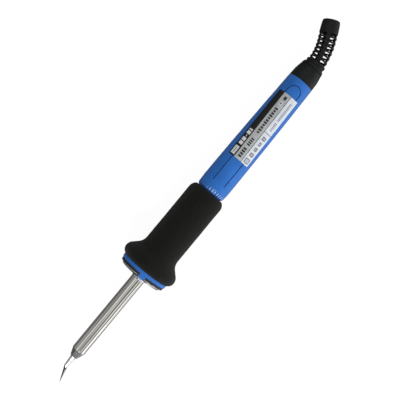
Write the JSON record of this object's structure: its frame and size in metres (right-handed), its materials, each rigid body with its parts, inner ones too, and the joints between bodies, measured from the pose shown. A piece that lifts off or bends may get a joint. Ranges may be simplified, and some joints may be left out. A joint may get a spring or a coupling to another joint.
{
  "type": "soldering iron",
  "caption": "Pencil soldering iron with a bent bit in a steel barrel, a dished heat shield, a flared foam grip, a blue handle and a slotted, bent strain relief.",
  "frame": {"origin": "on the tool's axis, where the barrel's full diameter ends just in front of the heat shield's neck", "axes": "-X along the barrel towards the bit, +Z out of the side with the label, +Y the side that the strain relief bends to"},
  "size_m": [0.2213, 0.03, 0.03],
  "materials": {
    "plated_copper": "satin plating, darker where it is ground",
    "screw_steel": "bright zinc",
    "stainless_steel": "drawn and polished",
    "ceramic": "unglazed",
    "resistance_wire": "oxidised",
    "mica": "flaky, slightly glossy",
    "glass_fibre": "braided",
    "shield_chrome": "bright plating",
    "gasket_fibre": "pressed fibre",
    "phenolic": "moulded",
    "blue_plastic": "semi-gloss moulding",
    "grip_foam": "fine closed-cell foam",
    "label_foil": "printed foil",
    "terminal_brass": "turned",
    "black_plastic": "fine grain",
    "boot_rubber": "matt flexible moulding"
  },
  "bodies": {
    "handle": {"barrel_tube": "stainless_steel", "heater_bobbin": "ceramic", "heater_winding": "resistance_wire", "mica_sleeve": "mica", "lead_bead": "ceramic", "heater_lead_left": "resistance_wire", "heater_lead_right": "resistance_wire", "lead_sleeve_left": "glass_fibre", "lead_sleeve_right": "glass_fibre", "heat_shield": "shield_chrome", "insulating_gasket": "gasket_fibre", "shield_screws": "screw_steel", "barrel_holder": "phenolic", "handle_body": "blue_plastic", "grip_sleeve": "grip_foam", "rating_label": "label_foil", "terminal_carrier": "phenolic", "terminal_left": "terminal_brass", "terminal_right": "terminal_brass", "terminal_screws": "screw_steel", "cord_clamp": "phenolic", "clamp_screws": "screw_steel", "boot_root": "boot_rubber", "boot_ribs": "boot_rubber"},
    "bit": {"soldering_tip": "plated_copper"},
    "set_screw": {"tip_set_screw": "screw_steel"},
    "collar": {"rear_collar": "black_plastic"},
    "boot_tip": {"boot_end": "boot_rubber"}
  },
  "joints": [
    {"name": "bit_slide", "type": "slide", "parent": "handle", "child": "bit", "axis": [-1, 0, 0], "range_m": [0, 0.038]},
    {"name": "set_screw_turn", "type": "hinge", "parent": "handle", "child": "set_screw", "pos_m": [-0.0425, 0, -0.0026], "axis": [0, 0, -1], "range_deg": [0, 360]},
    {"name": "collar_turn", "type": "hinge", "parent": "handle", "child": "collar", "pos_m": [0.128, 0, 0], "axis": [1, 0, 0], "range_deg": [0, 720]},
    {"name": "boot_flex", "type": "hinge", "parent": "handle", "child": "boot_tip", "pos_m": [0.1411, 0.00082, 0], "axis": [0, 0, 1], "range_deg": [-60, 30], "stiffness_Nm_per_rad": 0.02, "deforming": ["boot_ribs"]}
  ]
}
